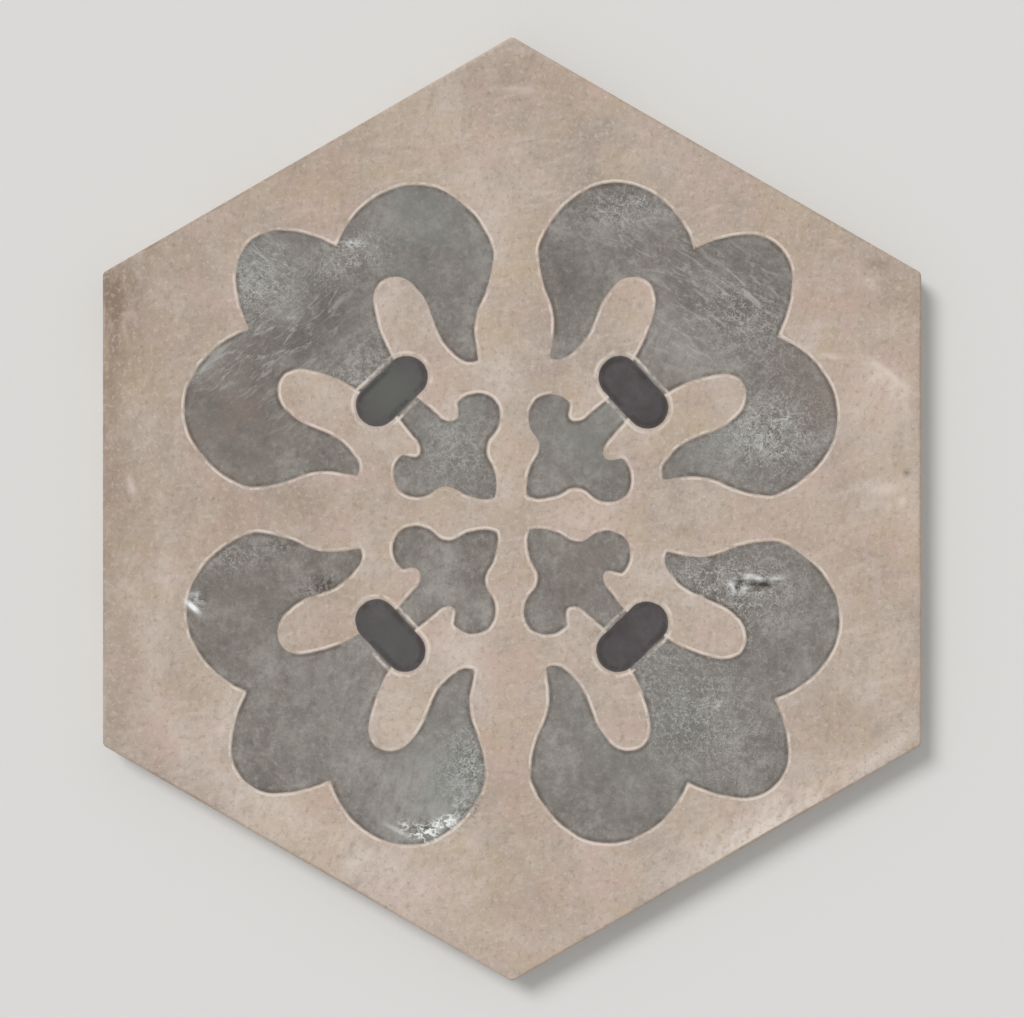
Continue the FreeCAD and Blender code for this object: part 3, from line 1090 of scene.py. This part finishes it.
@dataclass
class Tile:
    """The tile: the CAD's own shape, with a face that carries the print.

    Sizes are in millimetres, except the CAD's box, which is in metres. The face stays flat along
    its rim, and dips fully only inside the margin.
    """

    box: Box
    cut_mm: float = 0.8
    merge_mm: float = 0.0005
    dip_mm: float = 0.15
    dip_spread_mm: float = 45.0
    dip_margin_mm: float = 12.0
    smooth_deg: float = 40.0
    layout: Layout = Layout()
    ornament: Ornament = field(default_factory=Ornament)
    wear: Wear = field(default_factory=Wear)
    glaze: PrintedGlaze = field(default_factory=PrintedGlaze)
    body: BareBody = field(default_factory=BareBody)

    def build(self, cad_mesh: bpy.types.Mesh) -> bpy.types.Object:
        """Build and dress the tile.

        Args:
            cad_mesh: the CAD node's mesh, which stays as it is.

        Returns:
            The finished tile.
        """
        shape = bmesh.new()
        shape.from_mesh(cad_mesh)
        bmesh.ops.remove_doubles(shape, verts=shape.verts, dist=self.merge_mm * MM)
        face = self.cut_face(shape)
        self.dip_face(face)
        self.lay_out(shape)
        mesh = bpy.data.meshes.new("porcelain_tile")
        shape.to_mesh(mesh)
        shape.free()
        self.dress(mesh)
        tile = bpy.data.objects.new("porcelain_tile", mesh)
        bpy.context.scene.collection.objects.link(tile)
        even = tile.modifiers.new("even_normals", "WEIGHTED_NORMAL")
        even.keep_sharp = True
        return tile

    def cut_face(self, shape: bmesh.types.BMesh) -> list[bmesh.types.BMFace]:
        """Make the flat face one polygon and cut that to small squares.

        Args:
            shape: the tile's shape, with its doubles merged.

        Returns:
            The squares, and the odd shapes along the edge.
        """
        top = self.box[1].z
        flat = [
            face for face in shape.faces if all(top - vert.co.z < self.merge_mm * MM for vert in face.verts)
        ]
        pieces = bmesh.ops.dissolve_faces(shape, faces=flat)["region"]
        for axis in (Vector((1, 0, 0)), Vector((0, 1, 0))):
            pieces = self.cut_across(shape, pieces, axis)
        return pieces

    def cut_across(
        self, shape: bmesh.types.BMesh, faces: list[bmesh.types.BMFace], axis: Vector
    ) -> list[bmesh.types.BMFace]:
        """Cut faces by evenly spaced planes, from one side to the other.

        Args:
            shape: the tile's shape.
            faces: the faces to cut.
            axis: the direction that the planes face.

        Returns:
            The pieces.
        """
        reach = [axis.dot(vert.co) for face in faces for vert in face.verts]
        low, high = min(reach), max(reach)
        count = math.ceil((high - low) / (self.cut_mm * MM))
        done: list[bmesh.types.BMFace] = []
        ahead = faces
        for number in range(1, count):
            place = low + (high - low) * number / count
            # Each edge and corner goes in once, and in the same order in every run.
            edges = dict.fromkeys(edge for face in ahead for edge in face.edges)
            verts = dict.fromkeys(vert for face in ahead for vert in face.verts)
            cut = bmesh.ops.bisect_plane(
                shape,
                geom=[*ahead, *edges, *verts],
                dist=self.merge_mm * MM,
                plane_co=axis * place,
                plane_no=axis,
            )
            ahead = []
            for piece in dict.fromkeys(cut["geom"]):
                if isinstance(piece, bmesh.types.BMFace):
                    past = axis.dot(piece.calc_center_median()) > place
                    (ahead if past else done).append(piece)
        return done + ahead

    def dip_face(self, face: list[bmesh.types.BMFace]) -> None:
        """Let the face dip by a hair between its high spots, as pressed and fired ones do.

        Args:
            face: the pieces of the flat face.
        """
        for vert in {vert for piece in face for vert in piece.verts}:
            from_rim = self.box[1].x - self.width_at(vert.co)
            share = min(1.0, max(0.0, from_rim / (self.dip_margin_mm * MM)))
            # The noise runs from -1 to 1, and this from 0 to 1.
            low = 0.5 + 0.5 * noise.noise(vert.co / (self.dip_spread_mm * MM))
            vert.co.z -= self.dip_mm * MM * share * share * low

    def width_at(self, place: Vector) -> float:
        """Give how far out a place lies, as the half width of the hexagon through it."""
        return max(
            abs(place.x * math.cos(turn) + place.y * math.sin(turn))
            for turn in (0, math.radians(60), math.radians(120))
        )

    def lay_out(self, shape: bmesh.types.BMesh) -> None:
        """Give each face its finish, and its place in the baked picture.

        Args:
            shape: the tile's shape, with its face cut.
        """
        layer = shape.loops.layers.uv.new("OFBake")
        for face in shape.faces:
            face.smooth = True
            printed = face.normal.z > self.layout.slope
            face.material_index = (Finish.PRINTED_FACE if printed else Finish.BARE_BODY).value
            for loop in face.loops:
                loop[layer].uv = self.layout.spot(loop.vert.co, face.normal, self.box)

    def dress(self, mesh: bpy.types.Mesh) -> None:
        """Store the print and its wear in the mesh, and give it its two finishes.

        Args:
            mesh: the tile's mesh.
        """
        mesh.set_sharp_from_angle(angle=math.radians(self.smooth_deg))
        places = np.zeros(len(mesh.vertices) * 3, np.float32)
        mesh.vertices.foreach_get("co", places)
        face_mm = places.reshape(-1, 3)[:, :2].astype(float) / MM
        for name, values in {**self.ornament.depths(face_mm), **self.wear.covers(face_mm)}.items():
            layer = mesh.attributes.new(name, "FLOAT", "POINT")
            layer.data.foreach_set("value", values.astype(np.float32))
        materials = {Finish.PRINTED_FACE: self.glaze, Finish.BARE_BODY: self.body}
        for finish in Finish:
            mesh.materials.append(materials[finish].make())


@dataclass(frozen=True)
class Studio:
    """The plain floor, the soft light and the camera straight above the tile.

    The picture's width at the tile's face is in millimetres, and the floor's size and the nearest
    distance that the camera shows are in metres.
    """

    floor: str = "#DDDCDA"
    floor_roughness: float = 0.9
    floor_size: float = 6.0
    floor_gap_mm: float = 0.2
    sky: str = "#FFFFFF"
    backdrop: str = "#E8E7E5"
    sky_strength: float = 0.52
    sun_strength: float = 1.85
    sun_softness_deg: float = 24.0
    sun_from_zenith_deg: float = 42.0
    sun_turn_deg: float = 135.0
    lens_mm: float = 90.0
    sensor_mm: float = 36.0
    picture_mm: float = 270.0
    nearest: float = 0.01

    def build(self, box: Box) -> None:
        """Set up the floor, the light and the camera.

        Args:
            box: the tile's box, in metres.
        """
        self.lay_floor()
        self.light_sky()
        self.hang_sun()
        self.place_camera(box)

    def lay_floor(self) -> None:
        """Lay a plain pale floor just under the tile."""
        shape = bmesh.new()
        bmesh.ops.create_grid(shape, x_segments=1, y_segments=1, size=self.floor_size / 2)
        bmesh.ops.translate(shape, verts=shape.verts, vec=(0, 0, -self.floor_gap_mm * MM))
        mesh = bpy.data.meshes.new("studio_floor")
        shape.to_mesh(mesh)
        shape.free()
        material = bpy.data.materials.new("matt_paper_floor")
        material.use_nodes = True
        shader = material.node_tree.nodes["Principled BSDF"]
        shader.inputs["Base Color"].default_value = linear(self.floor)
        shader.inputs["Roughness"].default_value = self.floor_roughness
        mesh.materials.append(material)
        floor = bpy.data.objects.new("studio_floor", mesh)
        bpy.context.scene.collection.objects.link(floor)
        floor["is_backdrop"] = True

    def light_sky(self) -> None:
        """Light the scene evenly from all round, and show a pale backdrop to the camera."""
        world = bpy.data.worlds.new("studio")
        world.use_nodes = True
        tree = world.node_tree
        tree.nodes.clear()
        rays = add_node(tree, "LightPath")
        seen: object = rays.outputs["Is Camera Ray"]
        for kind in ("Is Glossy Ray", "Is Transmission Ray"):
            seen = add_node(tree, "Math", {"operation": "MAXIMUM"}, {0: seen, 1: rays.outputs[kind]})
        glow = {"Color": linear(self.sky), "Strength": self.sky_strength}
        light = add_node(tree, "Background", inputs=glow)
        backdrop = add_node(tree, "Background", inputs={"Color": linear(self.backdrop)})
        sky = add_node(tree, "MixShader", inputs={0: seen, 1: light, 2: backdrop})
        add_node(tree, "OutputWorld", inputs={"Surface": sky})
        bpy.context.scene.world = world

    def hang_sun(self) -> None:
        """Hang a broad soft lamp at the upper left, so that slim shadows fall right and below."""
        lamp = bpy.data.lights.new("soft_key", "SUN")
        lamp.energy = self.sun_strength
        lamp.angle = math.radians(self.sun_softness_deg)
        sun = bpy.data.objects.new("soft_key", lamp)
        turn = math.radians(self.sun_turn_deg)
        lean = math.radians(self.sun_from_zenith_deg)
        source = Vector((math.cos(turn) * math.sin(lean), math.sin(turn) * math.sin(lean), math.cos(lean)))
        sun.rotation_mode = "QUATERNION"
        sun.rotation_quaternion = (-source).to_track_quat("-Z", "Y")
        sun.location = source
        bpy.context.scene.collection.objects.link(sun)

    def place_camera(self, box: Box) -> None:
        """Look straight down on the face, with +Y up in the picture.

        Args:
            box: the tile's box.
        """
        lens = bpy.data.cameras.new("overhead_camera")
        lens.lens = self.lens_mm
        lens.sensor_width = self.sensor_mm
        lens.clip_start = self.nearest
        camera = bpy.data.objects.new("overhead_camera", lens)
        height = self.picture_mm * MM * self.lens_mm / self.sensor_mm
        camera.location = (0, 0, box[1].z + height)
        bpy.context.scene.collection.objects.link(camera)
        bpy.context.scene.camera = camera


def main() -> None:
    """Build the tile and its studio, and report each piece."""
    logging.basicConfig(level=logging.INFO, format="%(name)s: %(message)s")
    cad_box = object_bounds()
    cad_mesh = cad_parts[NODE].data
    tile = Tile(box=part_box(NODE)).build(cad_mesh)
    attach(tile, "root")
    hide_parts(NODE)
    log.info("%s: %d faces", tile.name, len(tile.data.polygons))
    Studio().build(cad_box)
    bpy.context.scene.view_settings.view_transform = "Standard"
    bpy.context.view_layer.update()


if __name__ == "__main__":
    main()
